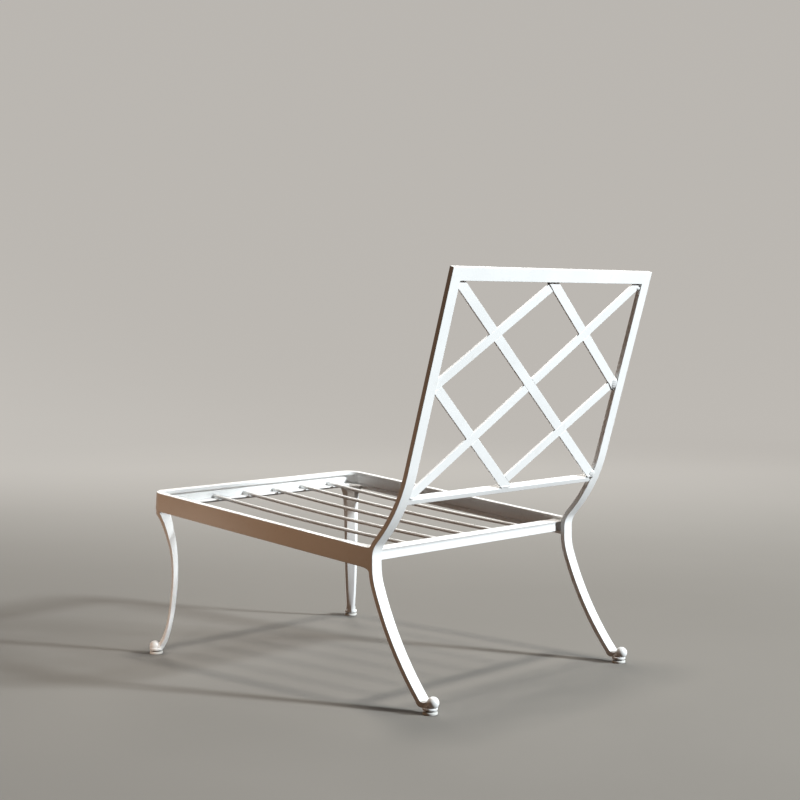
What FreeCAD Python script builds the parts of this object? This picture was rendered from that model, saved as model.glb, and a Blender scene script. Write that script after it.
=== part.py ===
import FreeCAD, Part
import math
import os

os.makedirs("parts", exist_ok=True)
V = FreeCAD.Vector

# Frame: millimetres, +Z up, the chair faces -Y, +X is the sitter's left hand.
# Modelled from the point on the floor under the rear end of the seat frame.

# Overall width, and the front feet's place under the seat's front corners
chair_w = 598.0
front_foot_in = 11.0
front_foot_back = 3.9

# Rear posts: one flat bar each, from the rear foot up to the top of the back
post_w = 25.0
post_t = 9.5
post_behind = 1.9
post_upright_z = 248.2
upright_len = 16.7
leg_low_r = 597.0
leg_end_z = 26.4
leg_high_r = 107.0
leg_high_turn = 19.3
kick_r = 38.0
kick_turn = 41.6
kick_len = 17.7
ease_r = 307.0
ease_turn = 25.3
back_top_z = 785.0

# Back frame and lattice
top_rail_h = 26.5
lower_rail_d = 14.5
lower_rail_h = 10.5
lower_rail_tilt = 28.3
lower_rail_in = 1.0
bar_w = 20.0
bar_t = 4.5
bar_past = 26.0
min_bar = 2000.0

# Where the lattice bars' centre lines end, from the posts and rails round the opening
joint_top_x = -2.0
joint_top_drop = 5.5
joint_bottom_x = 14.0
joint_bottom_rise = 13.6
joint_left_in = 3.0
joint_left_rise = 10.5
joint_right_in = 6.0
joint_right_rise = -1.5
corner_top_in = 3.5
corner_top_drop = 1.5
corner_low_left_in = 12.0
corner_low_right_in = 15.0
corner_low_rise = 14.8

# Seat frame, measured in its own sloping plane
seat_slope = 5.17
seat_len = 630.5
seat_rear_z = 281.4
rail_h = 38.0
rail_past = 3.0
web_t = 5.0
lip_d = 14.0
lip_h = 8.0
ledge_d = 23.0
side_ledge_d = 12.0
ledge_drop = 28.0
ledge_t = 3.0
corner_r = 35.0
rear_rail_d = 25.0
rear_rail_wall = 3.0
rear_rail_back = 11.5

# Seat rods
rod_count = 6
rod_d = 8.0
rod_rest = 0.8
rod_front_gap = 0.5
rod_dip = 4.5
rod_rear_drop = 20.5

# Front legs: bow in from the foot's axis, thickness and width at the thinnest
leg_bow = 40.0
leg_t = 12.0
leg_w = 27.0
# Sections from the top down: shares of the leg's height, bow, thickness and width
leg_sections = [
    (1.073, 0.425, 2.167, 1.852),
    (0.989, 0.438, 2.167, 1.593),
    (0.926, 0.550, 1.917, 1.370),
    (0.846, 0.725, 1.542, 1.204),
    (0.733, 0.912, 1.167, 1.056),
    (0.603, 1.000, 1.017, 1.000),
    (0.466, 0.975, 1.000, 0.981),
    (0.333, 0.860, 0.983, 0.926),
    (0.2065, 0.675, 1.000, 0.815),
    (0.120, 0.488, 1.083, 0.722),
    (0.060, 0.262, 1.250, 0.667),
]
leg_round = 0.42

# Feet and glides
pad_r = 13.5
pad_h = 5.0
neck_r = 10.8
neck_h = 2.0
glide_h = 5.5
front_ball_r = 10.6
front_ball_out = 3.0
front_ball_z = 17.0
rear_ball_r = 11.3
rear_ball_out = 6.7
rear_ball_z = 21.3
rear_toe = 16.0
curl_ahead = 9.5
curl_rise = 0.4
heel_back = 1.0
heel_rise = 3.0
toe_in = 1.5
toe_out = 5.5
toe_rise = 1.2
bore_r = 4.0
stem_clear = 0.05
stem_len = 12.0
edge_r = 1.2
cast_sink = 1.0

# Values that follow from the ones above
half_w = chair_w / 2
beyond = chair_w + seat_len
slope = math.radians(seat_slope)
rear_foot_x = half_w - post_w / 2
front_foot_x = half_w - front_foot_in
front_foot_y = front_foot_back - seat_len * math.cos(slope)
leg_h = seat_rear_z + seat_len * math.sin(slope) - rail_h
bar_recess = post_t - bar_t
post_in = half_w - post_w
back_tilt = kick_turn - ease_turn
pad_low = glide_h + neck_h
stem_r = bore_r - stem_clear
pad_top = pad_low + pad_h


def heading(deg):
    a = math.radians(deg)
    return V(0, math.sin(a), math.cos(a))


def front_normal(deg):
    a = math.radians(deg)
    return V(0, -math.cos(a), math.sin(a))


def post_moves():
    """Walk of the post's rear face from the foot up: radius (0 for straight), then length or turn."""
    return [
        (leg_low_r, leg_low_turn()),
        (leg_high_r, leg_high_turn),
        (0, upright_len),
        (kick_r, kick_turn),
        (0, kick_len),
        (ease_r, -ease_turn),
        (0, back_len()),
    ]


def back_len():
    """Straight stretch of the back, from the end of the easing bend up to the top."""
    rise = kick_r * math.sin(math.radians(kick_turn)) + kick_len * math.cos(math.radians(kick_turn))
    rise += ease_r * (math.sin(math.radians(kick_turn)) - math.sin(math.radians(back_tilt)))
    return (back_top_z - post_upright_z - upright_len - rise) / math.cos(math.radians(back_tilt))


def leg_low_turn():
    """Turn of the leg's long lower bend that brings its end down to the foot."""
    a = math.radians(leg_high_turn)
    drop = post_upright_z - leg_end_z - leg_high_r * math.sin(a)
    return math.degrees(math.asin(math.sin(a) + drop / leg_low_r)) - leg_high_turn


def post_start():
    """Rear face point at the foot end, found back from the upright stretch at the seat."""
    a = math.radians(leg_high_turn)
    b = math.radians(leg_high_turn + leg_low_turn())
    dy = leg_low_r * (math.cos(a) - math.cos(b)) + leg_high_r * (1 - math.cos(a))
    return V(0, post_behind + dy, leg_end_z), -math.degrees(b)


def walk(point, phi, moves, thick):
    """Edges of a bar's side view: its rear face line and its front face line."""
    rear, front, stops = [], [], [(point, phi)]
    for radius, amount in moves:
        n0 = front_normal(phi)
        if radius == 0:
            end = point + heading(phi) * amount
            rear.append(Part.makeLine(point, end))
            front.append(Part.makeLine(point + n0 * thick, end + n0 * thick))
        else:
            side = -1.0 if amount > 0 else 1.0
            centre = point + n0 * (side * radius)
            n1 = front_normal(phi + amount / 2)
            n2 = front_normal(phi + amount)
            end = centre - n2 * (side * radius)
            far = radius - side * thick
            rear.append(Part.Arc(point, centre - n1 * (side * radius), end).toShape())
            front.append(Part.Arc(
                centre - n0 * (side * far), centre - n1 * (side * far), centre - n2 * (side * far)).toShape())
            phi += amount
        point = end
        stops.append((point, phi))
    return rear, front, stops


def bar_from_walk(point, phi, moves, thick, x0, width):
    rear, front, stops = walk(point, phi, moves, thick)
    cap_low = Part.makeLine(rear[0].Vertexes[0].Point, front[0].Vertexes[0].Point)
    end, phi_end = stops[-1]
    cap_top = Part.makeLine(end, end + front_normal(phi_end) * thick)
    wire = Part.Wire(Part.__sortEdges__(rear + [cap_top] + front + [cap_low]))
    solid = Part.Face(wire).extrude(V(width, 0, 0))
    solid.translate(V(x0, 0, 0))
    return solid, stops


def mirrored(shape):
    return shape.mirror(V(0, 0, 0), V(1, 0, 0))


def box(x0, x1, y0, y1, z0, z1):
    return Part.makeBox(x1 - x0, y1 - y0, z1 - z0, V(x0, y0, z0))


def one(shape):
    """The cleaned single solid of a shape."""
    return shape.removeSplitter().Solids[0]


def back_place(shape):
    """Moves a shape from the back's own plane (x, rearward, up the slope) to the chair."""
    shape.rotate(V(0, 0, 0), V(1, 0, 0), -back_tilt)
    shape.translate(post_stops[-1][0])
    return shape


def seat_place(shape):
    """Moves a shape from the seat's own plane to the chair; the front edge rises."""
    shape.rotate(V(0, 0, 0), V(1, 0, 0), -seat_slope)
    shape.translate(V(0, 0, seat_rear_z))
    return shape


def top_rail():
    return back_place(box(-post_in, post_in, -post_t, 0, -top_rail_h, 0))


def lower_rail_edge():
    """Lower rear edge of the lower rail, a little inside the easing bend."""
    start, phi = post_stops[5]
    centre = start + front_normal(phi) * ease_r
    return centre - front_normal(lower_rail_tilt) * (ease_r - lower_rail_in)


def lower_rail_box(past, below):
    """Lower rail's block, square to the easing bend; it can be run on past its sides and down."""
    solid = box(-post_in, post_in, -lower_rail_d - past, past, -below, lower_rail_h)
    solid.rotate(V(0, 0, 0), V(1, 0, 0), -lower_rail_tilt)
    solid.translate(lower_rail_edge())
    return solid


def lattice_points():
    """Ends of the lattice bars' centre lines in the back's plane: across, and down from the top."""
    crest = lower_rail_edge() + heading(lower_rail_tilt) * lower_rail_h
    low = (crest - post_stops[-1][0]).dot(heading(back_tilt))
    mid = (low - top_rail_h) / 2
    return {
        "top": (joint_top_x, -top_rail_h - joint_top_drop),
        "bottom": (joint_bottom_x, low + joint_bottom_rise),
        "left": (post_in - joint_left_in, mid + joint_left_rise),
        "right": (joint_right_in - post_in, mid + joint_right_rise),
        "top_left": (post_in - corner_top_in, -top_rail_h - corner_top_drop),
        "top_right": (corner_top_in - post_in, -top_rail_h - corner_top_drop),
        "low_left": (post_in - corner_low_left_in, low + corner_low_rise),
        "low_right": (corner_low_right_in - post_in, low + corner_low_rise),
    }


def strip(a, b):
    """A lattice bar's strip in the back's plane, along two points and a little past both."""
    d = V(b[0] - a[0], 0, b[1] - a[1])
    d.normalize()
    side = V(-d.z, 0, d.x) * (bar_w / 2)
    p = V(a[0], -bar_recess, a[1]) - d * bar_past
    q = V(b[0], -bar_recess, b[1]) + d * bar_past
    face = Part.Face(Part.makePolygon([p - side, q - side, q + side, p + side, p - side]))
    return face.extrude(V(0, -bar_t, 0))


def pieces(shape):
    """Bars left after the cuts, from the top down; the offcuts past a joint are dropped."""
    solids = [s for s in shape.Solids if s.Volume > min_bar]
    return sorted(solids, key=lambda s: -s.CenterOfMass.z)


def lattice():
    """Cross from corner to corner and a diamond over it; bars butt on each other's edges."""
    at = lattice_points()
    below = lower_rail_box(beyond, beyond)
    below.translate(post_stops[-1][0] * -1)
    below.rotate(V(0, 0, 0), V(1, 0, 0), back_tilt)
    opening = box(-post_in, post_in, -post_t - bar_t, bar_t, -beyond, -top_rail_h).cut(below)

    def bar(a, b, cutters):
        shape = strip(a, b).common(opening)
        for cutter in cutters:
            shape = shape.cut(cutter)
        return shape

    d_full = bar(at["top"], at["right"], [])
    c_bar = pieces(bar(at["left"], at["top"], [d_full]))[0]
    e_full = pieces(bar(at["left"], at["bottom"], [c_bar]))[0]
    f_bar = pieces(bar(at["bottom"], at["right"], [d_full, e_full]))[0]
    a_bar = bar(at["top_left"], at["low_right"], [c_bar, f_bar])
    b_bar = bar(at["top_right"], at["low_left"], [a_bar])
    d_bar = d_full.cut(b_bar)
    e_bar = e_full.cut(b_bar)
    named = {}
    for name, shape in (("a", a_bar), ("b", b_bar), ("c", c_bar), ("d", d_bar), ("e", e_bar), ("f", f_bar)):
        for i, solid in enumerate(pieces(shape)):
            named["lattice_%s%d" % (name, i + 1)] = back_place(solid.copy())
    return named


def u_face(inset, rear):
    """Plan of the seat frame, set in by an amount, with round front corners."""
    x = half_w - inset
    y = -seat_len + inset
    r = corner_r - inset
    k = r * (1 - math.sqrt(0.5))
    a = V(-x, rear, 0)
    b = V(-x, y + r, 0)
    c = V(-x + r, y, 0)
    d = V(x - r, y, 0)
    e = V(x, y + r, 0)
    f = V(x, rear, 0)
    edges = [
        Part.makeLine(a, b),
        Part.Arc(b, V(-x + k, y + k, 0), c).toShape(),
        Part.makeLine(c, d),
        Part.Arc(d, V(x - k, y + k, 0), e).toShape(),
        Part.makeLine(e, f),
        Part.makeLine(f, a),
    ]
    return Part.Face(Part.Wire(edges))


def band(outer, inner, z0, z1, rear):
    """U-shaped wall between two insets of the plan, from z0 to z1."""
    face = u_face(outer, rear).cut(u_face(inner, rear + corner_r))
    solid = face.extrude(V(0, 0, z1 - z0))
    solid.translate(V(0, 0, z0))
    return solid


def seat_rails(posts):
    """Straight lengths and round corners of the seat rail: web, top lip and inner ledge."""
    stop = -rear_rail_back
    web = band(0, web_t, -rail_h, 0, rail_past)
    lip = band(web_t, lip_d, -lip_h, 0, stop)
    split = -seat_len + corner_r
    turn = half_w - corner_r
    ledge = band(web_t, ledge_d, -ledge_drop - ledge_t, -ledge_drop, stop)
    ledge = ledge.common(box(-beyond, beyond, -beyond, split, -beyond, beyond))
    side_ledge = band(web_t, side_ledge_d, -ledge_drop - ledge_t, -ledge_drop, stop)
    side_ledge = side_ledge.common(box(-beyond, beyond, split, beyond, -beyond, beyond))
    whole = web.fuse([lip, ledge, side_ledge]).removeSplitter()
    rails = {
        "seat_rail_front": whole.common(box(-turn, turn, -beyond, split, -beyond, beyond)),
        "seat_corner_left": whole.common(box(turn, beyond, -beyond, split, -beyond, beyond)),
        "seat_corner_right": whole.common(box(-beyond, -turn, -beyond, split, -beyond, beyond)),
        "seat_rail_left": whole.common(box(0, beyond, split, beyond, -beyond, beyond)),
        "seat_rail_right": whole.common(box(-beyond, 0, split, beyond, -beyond, beyond)),
    }
    for name in rails:
        shape = seat_place(one(rails[name]))
        for post in posts:
            shape = shape.cut(post)
        solids = sorted(shape.Solids, key=lambda s: -s.Volume)
        rails[name] = one(solids[0])
    return rails


def rear_rail():
    """Tube between the side rails' webs, held between their lips and ledges."""
    y1 = -rear_rail_back
    y0 = y1 - rear_rail_d
    x = half_w - web_t
    w = rear_rail_wall
    tube = box(-x, x, y0, y1, -ledge_drop, -lip_h)
    tube = tube.cut(box(-beyond, beyond, y0 + w, y1 - w, -ledge_drop + w, -lip_h - w))
    return seat_place(tube)


def seat_rod(x):
    """Round rod from the front ledge to the rear tube, with a shallow dip."""
    y0 = -seat_len + web_t + rod_front_gap
    y1 = -(rear_rail_back + rear_rail_d)
    z0 = -ledge_drop + rod_d / 2 + rod_rest
    z1 = -rod_rear_drop
    ym = (y0 + y1) / 2
    zm = (z0 + z1) / 2 - rod_dip
    path = Part.Wire([Part.Arc(V(x, y0, z0), V(x, ym, zm), V(x, y1, z1)).toShape()])
    start = path.Edges[0].tangentAt(path.Edges[0].FirstParameter)
    ring = Part.Wire([Part.makeCircle(rod_d / 2, V(x, y0, z0), start)])
    return seat_place(one(path.makePipeShell([ring], True, False)))


def leg_wire(height, bow, thickness, breadth):
    """Rounded section of a front leg; its axes lie along and across the corner's diagonal."""
    thick = leg_t * thickness
    width = leg_w * breadth
    a = math.sqrt(0.5)
    out = V(a, -a, 0)
    across = V(a, a, 0)
    centre = V(front_foot_x, front_foot_y, leg_h * height) - out * (leg_bow * bow)
    r = min(thick, width) * leg_round
    t = thick / 2
    w = width / 2
    m = r * (1 - a)
    corners = []
    for so, sa in ((1, 1), (1, -1), (-1, -1), (-1, 1)):
        p_out = centre + out * (so * t) + across * (sa * (w - r))
        p_mid = centre + out * (so * (t - m)) + across * (sa * (w - m))
        p_side = centre + out * (so * (t - r)) + across * (sa * w)
        order = (p_side, p_mid, p_out) if so * sa > 0 else (p_out, p_mid, p_side)
        corners.append(order)
    edges = []
    for i, (first, mid, last) in enumerate(corners):
        edges.append(Part.Arc(first, mid, last).toShape())
        edges.append(Part.makeLine(last, corners[(i + 1) % 4][0]))
    return Part.Wire(edges)


def pad(x, y):
    """Disc of a foot with the short groove under it, bored for the glide's stem."""
    disc = Part.makeCylinder(pad_r, pad_h, V(x, y, pad_low))
    disc = disc.makeFillet(edge_r, [disc.Edges[0], disc.Edges[2]])
    groove = Part.makeCylinder(neck_r, neck_h + cast_sink, V(x, y, glide_h))
    return disc.fuse(groove)


def bore(x, y):
    return Part.makeCylinder(bore_r, stem_len + stem_clear, V(x, y, glide_h))


def front_leg(rails):
    """Cast leg at the left front corner, bowed in along the diagonal, with its ball foot."""
    wires = [leg_wire(*s) for s in leg_sections]
    body = Part.makeLoft(wires, True, False)
    limit = u_face(0, 0).extrude(V(0, 0, 2 * beyond))
    limit.translate(V(0, 0, -beyond))
    seat_place(limit)
    high = body.common(box(0, beyond, -beyond, 0, leg_h / 2, beyond)).common(limit)
    low = body.common(box(0, beyond, -beyond, 0, 0, leg_h / 2))
    over = box(-beyond, beyond, -2 * beyond, 0, -ledge_drop - ledge_t, beyond)
    high = high.cut(seat_place(over))
    for name in ("seat_rail_front", "seat_corner_left", "seat_rail_left"):
        high = high.cut(rails[name])
    a = math.sqrt(0.5)
    ball_at = V(front_foot_x + a * front_ball_out, front_foot_y - a * front_ball_out, front_ball_z)
    ball = Part.makeSphere(front_ball_r, ball_at)
    ball = ball.cut(box(0, beyond, -beyond, 0, -beyond, pad_low + cast_sink / 2))
    leg = high.fuse([low, ball, pad(front_foot_x, front_foot_y)])
    leg = leg.cut(bore(front_foot_x, front_foot_y))
    return one(leg)


def rear_foot(start, phi):
    """Cast foot under a rear post: it carries on the post's end, curls back and ends in a ball."""
    y = rear_foot_y
    p0 = start
    p1 = start + front_normal(phi) * post_t
    heel = V(0, y + heel_back, rear_ball_z + heel_rise)
    heel_low = V(0, y + heel_back, pad_top - cast_sink)
    toe = V(0, y - pad_r + toe_in, pad_top - cast_sink)
    edges = [
        Part.makeLine(p1, p0),
        Part.Arc(p0, V(0, y - curl_ahead, rear_ball_z + curl_rise), heel).toShape(),
        Part.makeLine(heel, heel_low),
        Part.makeLine(heel_low, toe),
        Part.Arc(toe, V(0, y - pad_r - toe_out, pad_top + toe_rise), p1).toShape(),
    ]
    neck = Part.Face(Part.Wire(edges)).extrude(V(post_w, 0, 0))
    neck.translate(V(rear_foot_x - post_w / 2, 0, 0))
    ball = Part.makeSphere(rear_ball_r, V(rear_foot_x, y + rear_ball_out, rear_ball_z))
    foot = neck.fuse([ball, pad(rear_foot_x, y)])
    return one(foot.cut(bore(rear_foot_x, y)))


def glide(x, y):
    """Floor glide: a round disc with a stem pressed up into the foot."""
    disc = Part.makeCylinder(pad_r, glide_h, V(x, y, 0))
    disc = disc.makeFillet(edge_r, [disc.Edges[0], disc.Edges[2]])
    stem = Part.makeCylinder(stem_r, stem_len, V(x, y, glide_h))
    return one(disc.fuse(stem))


nodes = {}

foot_point, foot_phi = post_start()
rear_foot_y = foot_point.y + rear_toe
post_left, post_stops = bar_from_walk(foot_point, foot_phi, post_moves(), post_t, post_in, post_w)
post_right = mirrored(post_left)
nodes["back_post_left"] = post_left
nodes["back_post_right"] = post_right
nodes["back_top_rail"] = top_rail()
nodes["back_lower_rail"] = lower_rail_box(0, 0)
nodes.update(lattice())

rails = seat_rails([post_left, post_right])
nodes.update(rails)
nodes["seat_rear_rail"] = rear_rail()
rod_pitch = chair_w / (rod_count + 1)
for i in range(rod_count):
    nodes["seat_rod_%d" % (i + 1)] = seat_rod(half_w - rod_pitch * (i + 1))

nodes["front_leg_left"] = front_leg(rails)
nodes["front_leg_right"] = mirrored(nodes["front_leg_left"])
nodes["rear_foot_left"] = rear_foot(foot_point, foot_phi)
nodes["rear_foot_right"] = mirrored(nodes["rear_foot_left"])
for end, x, y in (("front", front_foot_x, front_foot_y), ("rear", rear_foot_x, rear_foot_y)):
    nodes["glide_%s_left" % end] = glide(x, y)
    nodes["glide_%s_right" % end] = mirrored(nodes["glide_%s_left" % end])

# The frame's origin goes to the middle of the chair's footprint, on the floor
whole = Part.makeCompound(list(nodes.values())).optimalBoundingBox(False, False)
for name, shape in nodes.items():
    shape.translate(V(-whole.Center.x, -whole.Center.y, -whole.ZMin))
    shape.exportStep("parts/%s.step" % name)
    print(name, round(shape.Volume), shape.isValid(), len(shape.Solids))
print("moved by", -whole.Center.x, -whole.Center.y, -whole.ZMin, "size", whole.XLength, whole.YLength, whole.ZLength)
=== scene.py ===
import bpy
import bmesh
import math
import random
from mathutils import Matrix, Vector


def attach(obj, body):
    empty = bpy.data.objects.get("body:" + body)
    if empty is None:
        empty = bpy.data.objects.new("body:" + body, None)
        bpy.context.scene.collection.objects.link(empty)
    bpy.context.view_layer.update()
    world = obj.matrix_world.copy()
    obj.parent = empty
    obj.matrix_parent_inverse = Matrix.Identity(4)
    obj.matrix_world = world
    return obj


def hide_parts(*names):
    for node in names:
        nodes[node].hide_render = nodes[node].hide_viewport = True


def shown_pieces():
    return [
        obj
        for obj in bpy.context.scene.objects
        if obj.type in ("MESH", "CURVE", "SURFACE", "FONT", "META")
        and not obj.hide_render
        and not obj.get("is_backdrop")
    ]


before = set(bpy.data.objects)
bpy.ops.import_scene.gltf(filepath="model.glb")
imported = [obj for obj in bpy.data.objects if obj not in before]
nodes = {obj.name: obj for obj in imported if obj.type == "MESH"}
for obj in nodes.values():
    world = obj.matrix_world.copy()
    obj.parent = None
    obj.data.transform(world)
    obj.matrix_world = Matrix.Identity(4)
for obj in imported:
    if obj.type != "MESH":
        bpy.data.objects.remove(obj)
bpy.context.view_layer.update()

# Sizes in millimetres, in the shared frame: the chair faces -Y, +X is the sitter's left hand
MM = 0.001
HALF_W = 299.0
DIAG = math.sqrt(0.5)

# Seat: its own sloping plane starts at SEAT_Y, SEAT_Z by the posts and runs forward.
# BITE is how far a piece between the rails' webs, at WEB_IN, sinks into them.
SEAT_Y = 221.390
SEAT_Z = 281.4
SEAT_LEN = 630.5
SLOPE = math.radians(5.17)
RAIL_H = 38.0
WEB_T = 5.0
LIP_D = 14.0
LIP_H = 8.0
LEDGE_D = 23.0
SIDE_LEDGE_D = 12.0
LEDGE_DROP = 28.0
LEDGE_T = 3.0
CORNER_R = 35.0
CORNER_Y = -SEAT_LEN + CORNER_R
TUBE_Y0 = -36.5
TUBE_Y1 = -11.5
ROD_R = 3.6
ROD_COUNT = 6
WEB_IN = HALF_W - WEB_T
BITE = 0.2

# Posts: the line of the rear face starts at (Y, Z, lean in degrees) over the foot and goes up in moves,
# each a radius with a turn in degrees, or 0 with a straight length
POST_W = 25.0
POST_T = 9.5
POST_IN = HALF_W - POST_W
POST_START = (SEAT_Y + 114.0405, 26.4, -40.001)
POST_MOVES = [(597.0, 20.701), (107.0, 19.3), (0, 16.7), (38.0, 41.6), (0, 17.7), (307.0, -25.3)]

# Back: a distance s is measured up its slope from the CAD's top edge, so it is negative on the back.
# TOP_DROP lowers the drawn top edge to where the photo has it.
BACK_TOP = 785.0
BACK_TILT = math.radians(16.3)
TOP_RAIL_H = 26.5
TOP_DROP = 2.2
LATTICE_W = 20.0
LOW_S = -432.567
LOW_RAIL_TOP = LOW_S + 3.5
MID_S = (LOW_S - TOP_RAIL_H) / 2

# Feet: the axis of each pad as (X, Y), the turned pad with its groove and the glide under it.
# Each ball is how far behind or out from that axis it stands, its height and its radius.
FRONT_FOOT = (288.0, SEAT_Y - 624.035)
REAR_FOOT = (286.5, SEAT_Y + 130.0405)
PAD_R = 13.5
PAD_TOP = 12.5
GROOVE_R = 8.0
GROOVE_TOP = 7.8
GROOVE_LOW = 5.1
CROWN = 0.1
HEEL_BALL = (6.7, 21.3, 11.3)
TOE_BALL = (3.0, 16.6, 10.6)
INSTEP_BALL = (-6.5, 14.6, 9.0)
SIDES = ((1, "left"), (-1, "right"))

# Front legs: each row is a height, how far in from the foot's axis, the thickness and the width.
# Above SHOULDER_Z a leg keeps inside the seat frame's outer face, which leans about its plan at PLAN_Z.
# Below SOFT_Z its section turns softer, over a height of SOFT_SPAN.
LEG = [
    (305.0, 13.0, 36.0, 76.0), (301.0, 13.6, 34.0, 67.0), (298.0, 14.6, 31.0, 55.0),
    (295.0, 15.6, 29.0, 47.0), (291.5, 16.9, 27.0, 42.0), (286.0, 18.8, 25.0, 38.2),
    (278.0, 22.0, 23.0, 36.0), (267.0, 25.4, 20.8, 34.6), (254.0, 29.0, 18.5, 33.4),
    (237.0, 33.0, 16.0, 32.2), (220.0, 36.4, 13.8, 31.2), (200.0, 38.7, 12.2, 30.5),
    (181.0, 39.6, 11.4, 29.9), (160.0, 39.5, 11.2, 29.2), (140.0, 38.6, 11.1, 28.4),
    (120.0, 36.7, 11.1, 27.5), (100.0, 34.4, 11.1, 26.3), (80.0, 31.3, 11.0, 24.8),
    (62.0, 27.5, 10.9, 23.2), (48.0, 23.9, 11.2, 21.8), (36.0, 20.1, 11.8, 20.6),
    (26.0, 15.7, 13.0, 19.6), (18.0, 10.7, 14.6, 18.6), (11.5, 7.0, 15.0, 17.0)]
SHOULDER_Z = 180.0
PLAN_Z = 336.0
SOFT_Z = 90.0
SOFT_SPAN = 60.0


# Mesh helpers

def mesh_object(name, verts, faces):
    """A smooth-shaded object from a mesh in millimetres, with its normals outward."""
    mesh = bpy.data.meshes.new(name)
    mesh.from_pydata([tuple(c * MM for c in v) for v in verts], [], faces)
    mesh.validate()
    bm = bmesh.new()
    bm.from_mesh(mesh)
    bmesh.ops.remove_doubles(bm, verts=bm.verts, dist=1e-7)
    bmesh.ops.recalc_face_normals(bm, faces=bm.faces)
    bm.to_mesh(mesh)
    bm.free()
    for p in mesh.polygons:
        p.use_smooth = True
    obj = bpy.data.objects.new(name, mesh)
    bpy.context.scene.collection.objects.link(obj)
    return obj


def piece(name, shape, stands_for=()):
    """A new visible piece from (verts, faces) in millimetres."""
    obj = mesh_object(name, *shape)
    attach(obj, "root")
    if stands_for:
        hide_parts(*stands_for)
    return obj


def joined(shapes):
    """Several shapes as one."""
    verts, faces = [], []
    for v, f in shapes:
        base = len(verts)
        verts += v
        faces += [tuple(i + base for i in face) for face in f]
    return verts, faces


def mirror(shape):
    """The same shape on the chair's other side."""
    verts, faces = shape
    return [(-x, y, z) for x, y, z in verts], [tuple(reversed(f)) for f in faces]


def skin(rings):
    """Quads between rings of equal length, open at both ends."""
    verts = [v for ring in rings for v in ring]
    n = len(rings[0])
    faces = []
    for i in range(len(rings) - 1):
        for j in range(n):
            k = (j + 1) % n
            faces.append((i * n + j, i * n + k, (i + 1) * n + k, (i + 1) * n + j))
    return verts, faces


def loft(rings):
    """A skin over rings, with a face on each end."""
    verts, faces = skin(rings)
    n = len(rings[0])
    faces.append(tuple(range(n - 1, -1, -1)))
    faces.append(tuple((len(rings) - 1) * n + j for j in range(n)))
    return verts, faces


def lathe(profile, x, y, n=48):
    """A turned shape: the profile is a list of (radius, height) from the top down, round a vertical axis."""
    verts, rings = [], []
    for r, z in profile:
        if r < 1e-6:
            rings.append([len(verts)])
            verts.append((x, y, z))
        else:
            rings.append([len(verts) + k for k in range(n)])
            for k in range(n):
                a = 2 * math.pi * k / n
                verts.append((x + r * math.cos(a), y + r * math.sin(a), z))
    faces = []
    for a, b in zip(rings, rings[1:]):
        for k in range(n):
            m = (k + 1) % n
            if len(a) == 1:
                faces.append((a[0], b[k], b[m]))
            elif len(b) == 1:
                faces.append((a[k], b[0], a[m]))
            else:
                faces.append((a[k], b[k], b[m], a[m]))
    return verts, faces


def bevel(obj, width, segments=3, angle=40):
    """Rounded edges, where faces meet at more than the angle."""
    m = obj.modifiers.new("edge_round", "BEVEL")
    m.width = width * MM
    m.segments = segments
    m.limit_method = "ANGLE"
    m.angle_limit = math.radians(angle)
    m.miter_outer = "MITER_ARC"
    w = obj.modifiers.new("normals", "WEIGHTED_NORMAL")
    w.weight = 80


def arc3(a, b, c, n):
    """Points on the circle arc from a through b to c, in a plane."""
    ax, ay = a
    bx, by = b
    cx, cy = c
    aa, bb, cc = ax * ax + ay * ay, bx * bx + by * by, cx * cx + cy * cy
    d = 2 * (ax * (by - cy) + bx * (cy - ay) + cx * (ay - by))
    ux = (aa * (by - cy) + bb * (cy - ay) + cc * (ay - by)) / d
    uy = (aa * (cx - bx) + bb * (ax - cx) + cc * (bx - ax)) / d
    r = math.hypot(ax - ux, ay - uy)
    t0, t1, t2 = [math.atan2(y - uy, x - ux) for x, y in (a, b, c)]
    turn = (t2 - t0 + math.pi) % (2 * math.pi) - math.pi
    part = (t1 - t0 + math.pi) % (2 * math.pi) - math.pi
    if turn * part < 0:
        turn -= math.copysign(2 * math.pi, turn)
    angles = [t0 + turn * i / n for i in range(n + 1)]
    return [(ux + r * math.cos(t), uy + r * math.sin(t)) for t in angles]


def eased(start, corner, stop, n):
    """Points on a curve from start to stop that rounds off the corner between them."""
    out = []
    for i in range(n + 1):
        t = i / n
        out.append(tuple(start * (1 - t) ** 2 + corner * 2 * t * (1 - t) + stop * t * t))
    return out


def rounded(points, r, n=4):
    """A profile with each corner between its two ends rounded."""
    out = [points[0]]
    for a, b, c in zip(points, points[1:], points[2:]):
        corner = Vector(b)
        va, vc = Vector(a) - corner, Vector(c) - corner
        k = min(r, va.length * 0.45, vc.length * 0.45)
        out += eased(corner + va.normalized() * k, corner, corner + vc.normalized() * k, n)
    out.append(points[-1])
    return out


def seat_point(x, y, z):
    """A point of the seat's own sloping plane in the shared frame."""
    c, s = math.cos(SLOPE), math.sin(SLOPE)
    return (x, SEAT_Y + y * c + z * s, SEAT_Z - y * s + z * c)


# Back frame: posts, cast feet and top rail

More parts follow.
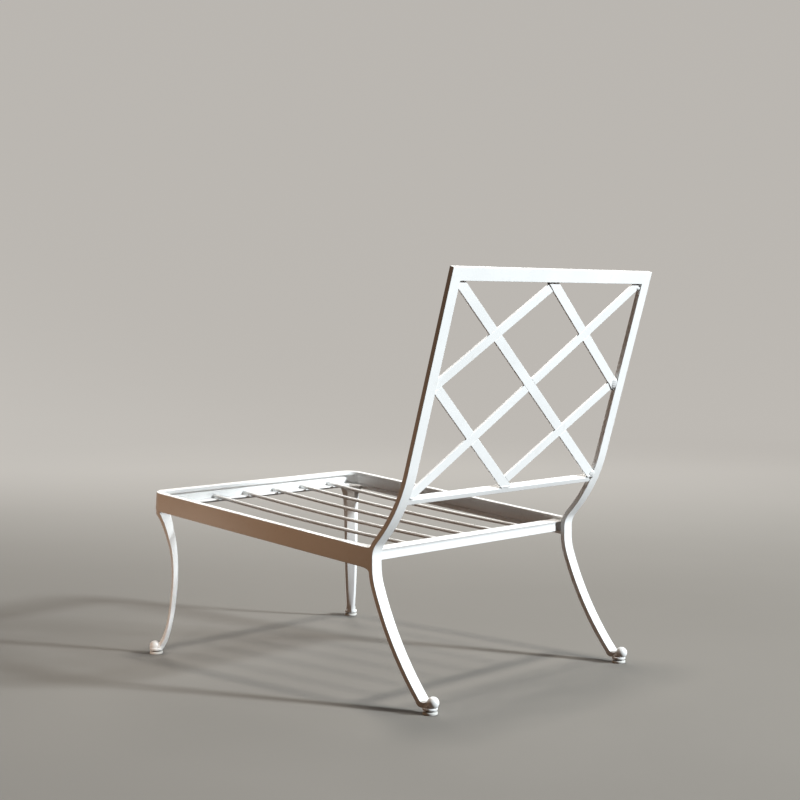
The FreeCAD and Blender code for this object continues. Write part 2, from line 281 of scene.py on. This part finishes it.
def post_path(step=2.0):
    """The rear face's line as points (Y, Z, lean in degrees), with turns divided into steps in degrees."""
    y, z, phi = POST_START
    pts = [POST_START]
    for radius, amount in POST_MOVES:
        a = math.radians(phi)
        if radius == 0:
            pts.append((y + math.sin(a) * amount, z + math.cos(a) * amount, phi))
        else:
            side = math.copysign(1.0, amount)
            cy = y + side * radius * math.cos(a)
            cz = z - side * radius * math.sin(a)
            n = max(2, int(abs(amount) / step))
            for i in range(1, n + 1):
                b = math.radians(phi + amount * i / n)
                at = (cy - side * radius * math.cos(b), cz + side * radius * math.sin(b))
                pts.append(at + (math.degrees(b),))
        y, z, phi = pts[-1]
    a = math.radians(phi)
    length = (BACK_TOP - z) / math.cos(a)
    for d in (length - TOP_RAIL_H, length):
        pts.append((y + math.sin(a) * d, z + math.cos(a) * d, phi))
    return pts


def front_of(p, depth):
    """The point so far in front of a point of the post's rear face."""
    a = math.radians(p[2])
    return p[0] - math.cos(a) * depth, p[1] + math.sin(a) * depth


PATH = post_path()
TOP_Y, TOP_Z = PATH[-1][:2]


def back_point(x, depth, s):
    """A point of the back's plane: across, forward from the rear face, and along the slope from the top."""
    c, sn = math.cos(BACK_TILT), math.sin(BACK_TILT)
    return (x, TOP_Y + sn * s - c * depth, TOP_Z + c * s + sn * depth)


def foot_sections(steps=9, pad_half=9.2, narrowing=3.2):
    """Side view of the cast foot under a post, from the pad up: rear and front points with a half width."""
    y = REAR_FOOT[1]
    rear = arc3(PATH[0][:2], (y - 9.5, 21.7), (y + 1.0, 24.3), steps)
    front = arc3(front_of(PATH[0], POST_T), (y - 19.0, 13.7), (y - 12.0, 11.5), steps)
    out = [((y + 1.0, 11.0), (y - 11.0, 11.0), pad_half)]
    for i in range(steps, 0, -1):
        t = i / steps
        out.append((rear[i], front[i], POST_W / 2 - narrowing * t * t))
    return out


def back_frame():
    """Both posts with their cast feet, and the top rail between them, as one welded and ground frame."""
    y, z, lean = PATH[-1]
    a = math.radians(lean)
    top_edge = (y - math.sin(a) * TOP_DROP, z - math.cos(a) * TOP_DROP, lean)
    rings = foot_sections()
    rings += [(p[:2], front_of(p, POST_T), POST_W / 2) for p in PATH[:-1] + [top_edge]]
    last = len(rings) - 1
    mid = HALF_W - POST_W / 2
    rear_in, front_in = 0, 3
    verts, faces, index = [], [], {}
    for side in (1, -1):
        for i, (r, f, w) in enumerate(rings):
            corners = [(mid - w, r), (mid + w, r), (mid + w, f), (mid - w, f)]
            for j, (x, p) in enumerate(corners):
                index[side, i, j] = len(verts)
                verts.append((side * x, p[0], p[1]))
        for i in range(last):
            for j in range(4):
                if i == last - 1 and j == front_in:
                    continue
                k = (j + 1) % 4
                corners = ((i, j), (i, k), (i + 1, k), (i + 1, j))
                faces.append(tuple(index[(side,) + c] for c in corners))
        for i in (0, last):
            faces.append(tuple(index[side, i, j] for j in range(4)))
    low_rear, low_front = (last - 1, rear_in), (last - 1, front_in)
    top_rear, top_front = (last, rear_in), (last, front_in)
    rail_faces = ((low_rear, top_rear), (low_front, top_front), (low_rear, low_front), (top_rear, top_front))
    for a, b in rail_faces:
        faces.append((index[(1,) + a], index[(-1,) + a], index[(-1,) + b], index[(1,) + b]))
    return verts, faces


frame_look = piece("back_frame_look", back_frame(), stands_for=(
    "back_post_left", "back_post_right", "back_top_rail"))
bevel(frame_look, 1.1)


# Feet: turned pads with a groove, balls, and the floor glides

PAD = rounded([
    (0, PAD_TOP + CROWN), (PAD_R, PAD_TOP), (PAD_R, GROOVE_TOP),
    (GROOVE_R, GROOVE_TOP), (GROOVE_R, GROOVE_LOW), (0, GROOVE_LOW)], 1.3)
GLIDE = rounded([(0, GROOVE_LOW + CROWN), (PAD_R, GROOVE_LOW), (PAD_R, 0), (0, 0)], 1.4)


def ball(x, y, z, r, steps=24, flat=0.985):
    """Cast ball, a touch flat on top."""
    profile = []
    for i in range(steps + 1):
        a = math.pi * i / steps
        squash = flat if i < steps / 2 else 1.0
        profile.append((r * math.sin(a), z + r * squash * math.cos(a)))
    return lathe(profile, x, y)


for side, word in SIDES:
    x, y = side * REAR_FOOT[0], REAR_FOOT[1]
    behind, z, r = HEEL_BALL
    foot = joined([lathe(PAD, x, y), ball(x, y + behind, z, r)])
    piece("rear_foot_%s_look" % word, foot, stands_for=("rear_foot_%s" % word,))
    piece("rear_glide_%s_look" % word, lathe(GLIDE, x, y), ("glide_rear_%s" % word,))


# Front legs: bowed castings on the corner's diagonal, with a ridge along each narrow side

def inside_plan(x, y, z, inset=0.7):
    """Keeps a point of the leg's top inside the seat frame's outer face."""
    c = math.cos(SLOPE)
    lean = SEAT_Y + (z - PLAN_Z) * math.sin(SLOPE)
    cx, cy = HALF_W - CORNER_R, lean + CORNER_Y * c
    r = CORNER_R - inset
    if x > cx and y < cy:
        d = math.hypot(x - cx, y - cy)
        if d > r:
            x, y = cx + (x - cx) * r / d, cy + (y - cy) * r / d
    else:
        x = min(x, HALF_W - inset)
        y = max(y, lean - SEAT_LEN * c + inset)
    return x, y


def leg_section(z, t, w):
    """The leg's section as (outward, across) points; the ridges fade and the faces swell towards the foot."""
    soft = min(1.0, max(0.0, (SOFT_Z - z) / SOFT_SPAN))
    bulge = t * 0.09 * soft
    outer = (t / 2, w / 2 - t * 0.33)
    ridge = (t * (0.17 - 0.12 * soft), w / 2)
    inner = (-t / 2, w / 2 - t * (0.45 - 0.05 * soft))
    half = [outer, ridge, inner]
    return [(t / 2 + bulge, 0)] + half + [(-t / 2 - bulge, 0)] + [(o, -a) for o, a in reversed(half)]


def front_leg():
    """The left front leg; its top stays under the seat frame's round corner."""
    rings = []
    for z, bow, t, w in LEG:
        ring = []
        for o, a in leg_section(z, t, w):
            x = FRONT_FOOT[0] + DIAG * (o - bow + a)
            y = FRONT_FOOT[1] + DIAG * (a - o + bow)
            if z > SHOULDER_Z:
                x, y = inside_plan(x, y, z)
            ring.append((x, y, z))
        rings.append(ring)
    return loft(rings)


for side, word in SIDES:
    x, y = side * FRONT_FOOT[0], FRONT_FOOT[1]
    body = front_leg() if side == 1 else mirror(front_leg())
    leg = piece("front_leg_%s_look" % word, body, stands_for=("front_leg_%s" % word,))
    bevel(leg, 1.0, angle=28)
    foot = [lathe(PAD, x, y)]
    for out, z, r in (TOE_BALL, INSTEP_BALL):
        foot.append(ball(x + side * DIAG * out, y - DIAG * out, z, r))
    piece("front_foot_%s_look" % word, joined(foot))
    piece("front_glide_%s_look" % word, lathe(GLIDE, x, y), ("glide_front_%s" % word,))


# Seat frame: one rail bent round the front, with a top lip and an inner ledge.
# LIP_END, LEDGE_END and WEB_END are the points of rail_section, from 0, that outline each at the rail's ends.

LIP_END = (5, 6, 7, 8)
LEDGE_END = (9, 10, 11, 12)
WEB_END = (4, 3, 2, 1, 0, 13, 12, 9, 8, 5)


def rail_section(ledge):
    """Points (inward, up) of the rail's section: up the web's outer face, over the lip, down the inside."""
    low = -LEDGE_DROP - LEDGE_T
    outside = [(0, -RAIL_H), (0, low), (0, -LEDGE_DROP), (0, -LIP_H), (0, 0)]
    lip = [(WEB_T, 0), (LIP_D, 0), (LIP_D, -LIP_H), (WEB_T, -LIP_H)]
    shelf = [(WEB_T, -LEDGE_DROP), (ledge, -LEDGE_DROP), (ledge, low), (WEB_T, low)]
    return outside + lip + shelf + [(WEB_T, -RAIL_H)]


def u_path(steps=14, runs=8, ledge_end=0.975):
    """Stations round the seat's edge: a point on the outer face and the inward direction."""
    x, y, r = HALF_W, -SEAT_LEN, CORNER_R
    spread = [i / runs for i in range(runs)] + [ledge_end]
    turn = [math.pi / 2 * i / steps for i in range(1, steps + 1)]
    out = [(x, TUBE_Y1 + (CORNER_Y - TUBE_Y1) * t, -1.0, 0.0) for t in spread + [1.0]]
    out += [(x - r + r * math.cos(a), CORNER_Y - r * math.sin(a), -math.cos(a), math.sin(a)) for a in turn]
    out += [(x - r - 2 * (x - r) * i / runs, y, 0.0, 1.0) for i in range(1, runs + 1)]
    out += [(-x + r - r * math.sin(a), CORNER_Y - r * math.cos(a), math.sin(a), math.cos(a)) for a in turn]
    out += [(-x, TUBE_Y1 + (CORNER_Y - TUBE_Y1) * t, 1.0, 0.0) for t in reversed(spread)]
    return out


def post_fronts(low=180.0, high=360.0):
    """The post's front face near the seat, as points (Y, Z) from the low end up."""
    fronts = [front_of(p, POST_T) for p in PATH]
    return [(y, z) for y, z in fronts if low < z < high]


def post_front_y(z):
    """Where the post's front face stands at a height near the seat."""
    pts = post_fronts()
    best = pts[0][0]
    for a, b in zip(pts, pts[1:]):
        if a[1] <= z <= b[1]:
            best = a[0] + (b[0] - a[0]) * (z - a[1]) / (b[1] - a[1])
    return best


def seat_rail(reach=30.0, sunk=3.0, inset=0.1):
    """The rail's section swept round the seat; behind lip and ledge the web alone runs on into the posts."""
    rings = []
    for x, y, nx, ny in u_path():
        ledge = SIDE_LEDGE_D if y > CORNER_Y + 1.0 else LEDGE_D
        rings.append([seat_point(x + nx * d, y + ny * d, z) for d, z in rail_section(ledge)])
    verts, faces = skin(rings)
    fall = math.tan(SLOPE)
    for base in (0, len(verts) - len(rings[0])):
        for end in (LIP_END, LEDGE_END):
            faces.append(tuple(base + j for j in end))
        start = [base + j for j in WEB_END]
        ends = []
        for i in start:
            x, y, z = verts[i]
            y_end = post_front_y(z - fall * reach) + sunk
            ends.append(len(verts))
            x = math.copysign(min(abs(x), HALF_W - inset), x)
            verts.append((x, y_end, z - fall * (y_end - y)))
        for a in range(len(start)):
            b = (a + 1) % len(start)
            faces.append((start[a], start[b], ends[b], ends[a]))
        faces.append(tuple(ends))
    return verts, faces


rail = piece("seat_frame_look", seat_rail(), stands_for=(
    "seat_rail_front", "seat_corner_left", "seat_corner_right", "seat_rail_left", "seat_rail_right"))
bevel(rail, 1.3)


# Rods of the seat, a little slack, with a small weld collar at the rear end

def rod(x, sunk=0.3, over_ledge=4.8, rear_z=-20.5, sag=4.5, collar=1.0, runs=26, sides=20):
    """A rod across the seat at x, from just inside the front rail's web to just inside the rear tube."""
    y0, z0 = -SEAT_LEN + WEB_T - sunk, -LEDGE_DROP + over_ledge
    y1, z1 = TUBE_Y0 + sunk, rear_z
    collar_from = 0.994
    stations = [0, 0.003, 0.006] + [i / runs for i in range(1, runs)] + [0.992, 0.9955, 1]
    rings = []
    for t in stations:
        y = y0 + (y1 - y0) * t
        z = z0 + (z1 - z0) * t - 4 * sag * t * (1 - t)
        slope = math.atan2((z1 - z0) - 4 * sag * (1 - 2 * t), y1 - y0)
        r = ROD_R + collar if t > collar_from else ROD_R
        ring = []
        for i in range(sides):
            a = 2 * math.pi * i / sides
            across, up = r * math.cos(a), r * math.sin(a)
            ring.append(seat_point(x + across, y - up * math.sin(slope), z + up * math.cos(slope)))
        rings.append(ring)
    return loft(rings)


for i in range(1, ROD_COUNT + 1):
    x = HALF_W - 2 * HALF_W / (ROD_COUNT + 1) * i
    piece("rod_%d_look" % i, rod(x), stands_for=("seat_rod_%d" % i,))


# CAD pieces kept as they are, with rounded edges

def soften(node, width):
    """Joins the CAD mesh's points and flat faces, then rounds its edges."""
    obj = nodes[node]
    w = obj.modifiers.new("join_verts", "WELD")
    w.merge_threshold = 0.02 * MM
    d = obj.modifiers.new("flat_faces", "DECIMATE")
    d.decimate_type = "DISSOLVE"
    d.angle_limit = math.radians(0.5)
    for p in obj.data.polygons:
        p.use_smooth = True
    bevel(obj, width)


for name in nodes:
    if name.startswith("lattice"):
        soften(name, 0.7)
    elif name.startswith("back_lower"):
        soften(name, 1.0)


# Rear rail of the seat, with a small lip along its top rear edge

def rear_rail(lip=0.5, turn=40.0, radius=10.9, recess=2.55, cove_h=7.5, foot_in=1.6, steps=8):
    """The tube's side view carried across the seat: under the lip its rear face is hollowed in an arc."""
    top, low = -LIP_H, -LEDGE_DROP
    side = [(TUBE_Y0, low), (TUBE_Y0, top), (TUBE_Y1, top), (TUBE_Y1, top - lip)]
    for i in range(1, steps + 1):
        a = math.radians(turn * (1 - i / steps))
        side.append((TUBE_Y1 - recess + radius * (1 - math.cos(a)), top - cove_h + radius * math.sin(a)))
    side.append((TUBE_Y1 - foot_in, low))
    half = WEB_IN + BITE
    return loft([[seat_point(x, y, z) for y, z in side] for x in (half, -half)])


rear_look = piece("rear_rail_look", rear_rail(), stands_for=("seat_rear_rail",))
bevel(rear_look, 0.3, segments=2, angle=50)


# Welds: uneven beads of metal under the paint, in the corners where bars meet.
# ENDS gives the middle of each lattice bar's end as (X, s). A bar weld names two ends, lies at the second
# and has a radius. ASIDE is a direction that no weld runs along.

random.seed(7)
ENDS = {
    "top": (-2.0, -32.0), "bottom": (14.0, LOW_S + 13.6),
    "left": (271.0, MID_S + 10.5), "right": (-268.0, MID_S - 1.5),
    "top_left": (270.5, -28.0), "top_right": (-270.5, -28.0),
    "low_left": (262.0, LOW_S + 14.8), "low_right": (-259.0, LOW_S + 14.8)}
BAR_WELDS = [
    ("top", "right", 2.6), ("bottom", "left", 1.6), ("top", "left", 1.5), ("low_right", "top_left", 1.5),
    ("low_left", "top_right", 1.5), ("top_left", "low_right", 2.0), ("top_right", "low_left", 1.7),
    ("right", "top", 1.3), ("left", "bottom", 1.4)]
WELD_DEPTH = 5.2
ASIDE = Vector((0.31, 0.42, 0.85))


def bead(points, radius, lump=0.25, step=1.1, sides=10):
    """A bead along a polyline, with a rippled and uneven thickness and rounded ends."""
    pts = [Vector(p) for p in points]
    path = []
    for a, b in zip(pts, pts[1:]):
        n = max(2, int((b - a).length / step))
        path += [a + (b - a) * (i / n) for i in range(n)]
    path.append(pts[-1])
    last = len(path) - 1
    rings = []
    phase = random.uniform(0, 6)
    for i, p in enumerate(path):
        d = (path[min(i + 1, last)] - path[max(i - 1, 0)]).normalized()
        side = d.cross(ASIDE)
        side.normalize()
        up = d.cross(side)
        end = min(i, last - i)
        r = radius * (0.45 if end == 0 else 0.82 if end == 1 else 1.0)
        r *= 1 + lump * math.sin(phase + i * 1.5) * 0.5 + lump * random.uniform(-0.4, 0.4)
        ring = []
        for j in range(sides):
            a = 2 * math.pi * j / sides
            ring.append(tuple(p + side * (r * math.cos(a)) + up * (r * math.sin(a))))
        rings.append(ring)
    return loft(rings)


def bar_edge_exits(a, b):
    """Where a lattice bar's two long edges leave the opening past its end b."""
    d = Vector((b[0] - a[0], b[1] - a[1]))
    d.normalize()
    out = []
    for side in (-LATTICE_W / 2, LATTICE_W / 2):
        p = Vector(b) + Vector((-d.y, d.x)) * side
        across = ((POST_IN if d.x > 0 else -POST_IN) - p.x) / d.x
        along = ((-TOP_RAIL_H if d.y > 0 else LOW_RAIL_TOP) - p.y) / d.y
        out.append(p + d * min(across, along))
    return out


def bar_weld(a, b, radius):
    """The bead across a bar's end, bent where the end sits in a corner of the opening."""
    p, q = bar_edge_exits(ENDS[a], ENDS[b])
    line = [p, q]
    if abs(p.x - q.x) > 1 and abs(p.y - q.y) > 1:
        at_post, at_rail = (p, q) if abs(p.x) > abs(q.x) else (q, p)
        line = [p, Vector((at_post.x, at_rail.y)), q]
    return bead([back_point(v.x, WELD_DEPTH, v.y) for v in line], radius)


piece("welds_back", joined([bar_weld(*weld) for weld in BAR_WELDS]))


def corner_weld(s0, s1, size=1.0, steps=16, slope_steps=8):
    """Weld metal heaped in the corner between the right post's inner face and a bar's rear face."""
    width, height, swell = 9.5, 4.6, 0.5
    floor, bar_face = 6.2, 4.9
    floor_sunk, face_sunk = 0.6, 0.4
    rings = []
    for i in range(steps + 1):
        t = i / steps
        k = size * (0.35 + 0.65 * math.sin(math.pi * t ** 0.9) ** 0.6)
        k *= 1 + 0.06 * math.sin(i * 2.1) + random.uniform(-0.03, 0.03)
        at = s0 + (s1 - s0) * t
        ring = [back_point(-POST_IN - floor_sunk, floor, at), back_point(-POST_IN + width * k, floor, at)]
        for j in range(slope_steps + 1):
            f = j / slope_steps
            x = -POST_IN - face_sunk + (width + face_sunk) * k * (1 - f)
            rise = height * min(k, 1.0) * f + swell * k * math.sin(math.pi * f)
            ring.append(back_point(x, bar_face - rise, at))
        rings.append(ring)
    return loft(rings)


piece("welds_corner", joined([
    corner_weld(MID_S + 7.5, MID_S - 14.0), corner_weld(LOW_S + 16.0, LOW_S - 1.0),
    corner_weld(-33.0, -41.0, 0.7)]))


# Painted shade in the seams that the welds leave open, as dark strips: each point is X and s on the lattice's
# rear face, with the seam's width.
# STRIP is the section of a seam, as a share of its width across and a depth.

SEAMS = [
    [(21.0, -27.6, 5.0), (16.0, -31.0, 3.6), (7.0, -37.6, 2.2), (-1.5, -44.2, 1.4)],
    [(-249.0, -229.2, 1.8), (-254.0, -233.2, 2.8), (-259.0, -238.2, 3.4), (-265.0, -243.6, 3.6),
     (-272.0, -246.0, 3.6)],
    [(-257.0, -27.4, 1.4), (-265.0, -28.2, 3.0), (-272.5, -29.2, 4.0)]]
STRIP = ((0.5, 5.4), (0.42, 4.8), (-0.42, 4.8), (-0.5, 5.4))


def seam(points):
    """Painted shade of an unfilled seam, as a thin dark strip on the lattice's rear face."""
    rings = []
    for i, (x, s, width) in enumerate(points):
        before, after = points[max(i - 1, 0)], points[min(i + 1, len(points) - 1)]
        d = Vector((after[0] - before[0], after[1] - before[1])).normalized()
        rings.append([back_point(x - d.y * width * k, depth, s + d.x * width * k) for k, depth in STRIP])
    return loft(rings)


piece("seams_back", joined([seam(points) for points in SEAMS]))


# Fillets where the seat's side rails run into the posts

def fillet(local_z, turn, along, up, inner, sunk=2.5, thick=3.0, inset=0.15):
    """Metal between the left rail's edge at local_z and the post, under the rail (turn -1) or over it (1)."""
    sn, c = math.sin(SLOPE), math.cos(SLOPE)
    corner = Vector((SEAT_Y, 0.0))
    for y, z in post_fronts():
        y_rail = (y - SEAT_Y - local_z * sn) / c
        if z <= SEAT_Z - y_rail * sn + local_z * c:
            corner = Vector((y, z))
    start = corner + Vector((-c, sn)) * along
    z_stop = corner.y + turn * up
    stop = Vector((post_front_y(z_stop), z_stop))
    side = eased(start, corner, stop, 12)
    side.append((stop.x + sunk, stop.y))
    side.append((corner.x + sunk, corner.y - turn * thick))
    side.append((start.x, start.y - turn * thick))
    return loft([[(x, y, z) for y, z in side] for x in (inner, HALF_W - inset)])


under = fillet(-RAIL_H, -1.0, 17.0, 8.5, WEB_IN + BITE)
over = fillet(0.0, 1.0, 13.0, 4.5, HALF_W - LIP_D + 0.5)
fillets = piece("rail_fillets", joined([under, over, mirror(under), mirror(over)]))
bevel(fillets, 0.9)


# Materials

def node_material(name):
    """A new material with its node tree, its shader and the object's own coordinates."""
    mat = bpy.data.materials.new(name)
    mat.use_nodes = True
    tree = mat.node_tree
    coord = tree.nodes.new("ShaderNodeTexCoord")
    return mat, tree, tree.nodes["Principled BSDF"], coord.outputs["Object"]


def noise(tree, place, scale, detail):
    node = tree.nodes.new("ShaderNodeTexNoise")
    node.inputs["Scale"].default_value = scale
    node.inputs["Detail"].default_value = detail
    tree.links.new(place, node.inputs["Vector"])
    return node


def colour_ramp(tree, value, dark, pale, start=0.0, stop=1.0):
    """The colour that a value from start to stop stands for."""
    node = tree.nodes.new("ShaderNodeValToRGB")
    first, second = node.color_ramp.elements
    first.position = start
    first.color = dark + (1,)
    second.position = stop
    second.color = pale + (1,)
    tree.links.new(value, node.inputs["Fac"])
    return node.outputs["Color"]


def map_range(tree, value, from_min, from_max, to_min, to_max):
    node = tree.nodes.new("ShaderNodeMapRange")
    node.inputs["From Min"].default_value = from_min
    node.inputs["From Max"].default_value = from_max
    node.inputs["To Min"].default_value = to_min
    node.inputs["To Max"].default_value = to_max
    tree.links.new(value, node.inputs["Value"])
    return node


def mottled(name, scale, detail, dark, pale, roughness):
    """A matt material whose colour wanders between two tones."""
    mat, tree, shader, place = node_material(name)
    grain = noise(tree, place, scale, detail)
    tree.links.new(colour_ramp(tree, grain.outputs["Fac"], dark, pale), shader.inputs["Base Color"])
    shader.inputs["Roughness"].default_value = roughness
    return mat


def paint_material():
    """White paint with soft clouds, dusty specks, an uneven gloss and a fine orange peel."""
    mat, tree, shader, place = node_material("white_paint")
    clouds = noise(tree, place, 9.0, 6.0).outputs["Fac"]
    white = colour_ramp(tree, clouds, (0.785, 0.79, 0.785), (0.85, 0.855, 0.85), 0.3, 0.7)
    specks = noise(tree, place, 70.0, 9.0)
    specks.inputs["Roughness"].default_value = 0.7
    wear = map_range(tree, specks.outputs["Fac"], 0.56, 0.74, 0.0, 0.35)
    dusty = tree.nodes.new("ShaderNodeMix")
    dusty.data_type = "RGBA"
    dusty.inputs["B"].default_value = (0.60, 0.57, 0.52, 1)
    tree.links.new(wear.outputs["Result"], dusty.inputs["Factor"])
    tree.links.new(white, dusty.inputs["A"])
    tree.links.new(dusty.outputs["Result"], shader.inputs["Base Color"])
    gloss = map_range(tree, clouds, 0.0, 1.0, 0.3, 0.48)
    tree.links.new(gloss.outputs["Result"], shader.inputs["Roughness"])
    bump = tree.nodes.new("ShaderNodeBump")
    bump.inputs["Strength"].default_value = 0.12
    bump.inputs["Distance"].default_value = 0.0006
    tree.links.new(noise(tree, place, 420.0, 3.0).outputs["Fac"], bump.inputs["Height"])
    tree.links.new(bump.outputs["Normal"], shader.inputs["Normal"])
    return mat


# Painted shade in the groove of each pad: between two heights and within a distance of the pad's axis, in
# millimetres
GROOVE_SHADE_LOW = 5.0
GROOVE_SHADE_TOP = 8.0
GROOVE_SHADE_R = 11.0


def darken_groove(obj, middle):
    """Gives the groove round a foot's pad the object's second material, a dark paint that stands for the
    shade in the groove.
    """
    for p in obj.data.polygons:
        at = obj.matrix_world @ p.center / MM
        if GROOVE_SHADE_LOW < at.z < GROOVE_SHADE_TOP and math.hypot(at.x - middle[0], at.y - middle[1]) < GROOVE_SHADE_R:
            p.material_index = 1


paint = paint_material()
plastic = mottled("glide_plastic", 250.0, 4.0, (0.60, 0.59, 0.56), (0.74, 0.73, 0.70), 0.55)
# Painted shade: a near-black material for the seam strips and the foot grooves, where shade falls.
shade_paint = mottled("painted_seam_shade", 180.0, 6.0, (0.022, 0.018, 0.015), (0.06, 0.05, 0.042), 0.85)
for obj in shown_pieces():
    obj.data.materials.clear()
    # The seam strips take the painted shade material.
    obj.data.materials.append(plastic if "glide" in obj.name else shade_paint if "seams" in obj.name else paint)
    # Each foot's groove gets the painted shade material as its second material.
    if "_foot_" in obj.name:
        obj.data.materials.append(shade_paint)
        foot = FRONT_FOOT if "front" in obj.name else REAR_FOOT
        side = 1 if "left" in obj.name else -1
        darken_groove(obj, (side * foot[0], foot[1]))


# Stage, in metres: a wide round floor that rises softly to a wall. It glows, a painted light that makes it
# paler far from the chair, and more so towards FAR_SIDE, which is level and faces away from the camera.

FAR_SIDE = (-0.737, -0.676, 0.0)
FLOOR_R = 6.0
WALL_CURVE = 5.0
WALL_H = 5.2


def stage_material():
    mat = mottled("stage_grey", 1.6, 5.0, (0.19, 0.181, 0.166), (0.21, 0.20, 0.185), 0.85)
    mat.cycles.emission_sampling = "NONE"
    tree = mat.node_tree
    shader = tree.nodes["Principled BSDF"]
    shader.inputs["Specular IOR Level"].default_value = 0.2
    shader.inputs["Emission Color"].default_value = (1.0, 0.96, 0.9, 1)
    coord = tree.nodes.new("ShaderNodeTexCoord")
    both = tree.nodes.new("ShaderNodeMath")
    both.operation = "ADD"
    # Painted light: the glow grows with distance from the chair and towards FAR_SIDE.
    glows = (("LENGTH", 2.0, 7.0, 0.12), ("DOT_PRODUCT", 0.25, 4.2, 0.36))
    for i, (operation, start, stop, strength) in enumerate(glows):
        reach = tree.nodes.new("ShaderNodeVectorMath")
        reach.operation = operation
        tree.links.new(coord.outputs["Object"], reach.inputs[0])
        if operation == "DOT_PRODUCT":
            reach.inputs[1].default_value = FAR_SIDE
        glow = map_range(tree, reach.outputs["Value"], start, stop, 0.0, strength)
        glow.interpolation_type = "SMOOTHSTEP"
        tree.links.new(glow.outputs["Result"], both.inputs[i])
    tree.links.new(both.outputs["Value"], shader.inputs["Emission Strength"])
    return mat


def stage_bowl(n=96, floor_rings=6, wall_rings=16):
    """The floor and wall as one bowl, turned about the middle of the chair."""
    outline = [(FLOOR_R * i / floor_rings, 0.0) for i in range(1, floor_rings + 1)]
    for i in range(1, wall_rings + 1):
        a = math.pi / 2 * i / wall_rings
        outline.append((FLOOR_R + WALL_CURVE * math.sin(a), WALL_CURVE * (1 - math.cos(a))))
    outline.append((FLOOR_R + WALL_CURVE, WALL_H))
    angles = [2 * math.pi * j / n for j in range(n)]
    verts = [(0.0, 0.0, 0.0)]
    for r, z in outline:
        verts += [(r * math.cos(a), r * math.sin(a), z) for a in angles]
    faces = [(0, 1 + j, 1 + (j + 1) % n) for j in range(n)]
    for i in range(len(outline) - 1):
        a, b = 1 + i * n, 1 + (i + 1) * n
        faces += [(a + j, b + j, b + (j + 1) % n, a + (j + 1) % n) for j in range(n)]
    mesh = bpy.data.meshes.new("stage_floor")
    mesh.from_pydata(verts, [], faces)
    for p in mesh.polygons:
        p.use_smooth = True
    obj = bpy.data.objects.new("stage_floor", mesh)
    bpy.context.scene.collection.objects.link(obj)
    obj.data.materials.append(stage_material())
    obj.visible_diffuse = False
    obj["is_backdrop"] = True


stage_bowl()


# Camera, fitted to edges in the photo: its place in metres, the direction behind it and its focal length

CAMERA_PLACE = (2.420366, 2.238395, 0.713796)
CAMERA_BACK = Vector((0.735519, 0.675165, 0.056248))
FOCAL_PX = 1640.497
PHOTO_PX = 800
SENSOR = 36.0

cam_data = bpy.data.cameras.new("camera")
cam_data.sensor_width = SENSOR
cam_data.lens = FOCAL_PX / PHOTO_PX * SENSOR
cam_data.clip_end = 200.0
cam = bpy.data.objects.new("camera", cam_data)
cam.location = CAMERA_PLACE
cam.rotation_mode = "QUATERNION"
cam.rotation_quaternion = (-CAMERA_BACK).to_track_quat("-Z", "Y")
bpy.context.scene.collection.objects.link(cam)
bpy.context.scene.camera = cam


# Light, in metres and watts: a key lamp far behind the chair, to the right of the camera, soft fills,
# a warm lamp on the near side that lights the chair alone, and a faint warm glow all round

def lamp(name, kind, place, aim, power, colour):
    """A lamp that shines along aim and that the camera doesn't see."""
    data = bpy.data.lights.new(name, kind)
    data.energy = power
    data.color = colour
    obj = bpy.data.objects.new(name, data)
    obj.location = place
    obj.rotation_mode = "QUATERNION"
    obj.rotation_quaternion = aim.to_track_quat("-Z", "Y")
    obj.visible_camera = False
    bpy.context.scene.collection.objects.link(obj)
    return obj


def spot(name, towards, distance, target, angle, radius, power, colour):
    """A spot lamp so far from its target, with a cone in degrees and a soft radius."""
    way = Vector(towards).normalized()
    data = lamp(name, "SPOT", Vector(target) + way * distance, -way, power, colour).data
    data.spot_size = math.radians(angle)
    data.spot_blend = 0.9
    data.shadow_soft_size = radius


def panel(name, place, target, size, power, colour):
    """A round soft panel at a place, turned to its target."""
    obj = lamp(name, "AREA", place, Vector(target) - Vector(place), power, colour)
    obj.data.shape = "DISK"
    obj.data.size = size
    return obj


spot("key", (-0.381, 0.815, 0.423), 9.5, (0, 0, 0.4), 62.0, 0.6, 6250.0, (0.90, 0.965, 1.0))
spot("front_fill", (-0.55, -0.62, 0.56), 9.0, (0, 0, 0.4), 62.0, 1.6, 900.0, (1.0, 0.97, 0.93))
spot("foot_fill", (0.75, 0.55, 0.30), 2.5, (0.29, -0.39, 0.015), 10.0, 0.2, 150.0, (1.0, 0.94, 0.87))
panel("overhead", (-0.3, 0.1, 4.6), (0.0, 0.0, 0.3), 0.8, 140.0, (1.0, 0.95, 0.88))
warm = panel("warm_side", (1.0, -0.5, 0.27), (0.3, -0.25, 0.28), 0.5, 1.35, (1.0, 0.57, 0.32))
lit = bpy.data.collections.new("lit_by_warm_side")
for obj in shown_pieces():
    lit.objects.link(obj)
warm.light_linking.receiver_collection = lit

world = bpy.data.worlds.new("studio")
bpy.context.scene.world = world
world.use_nodes = True
glow_all_round = world.node_tree.nodes["Background"]
glow_all_round.inputs["Color"].default_value = (1.0, 0.60, 0.38, 1)
glow_all_round.inputs["Strength"].default_value = 0.042
bpy.context.scene.view_settings.view_transform = "Standard"
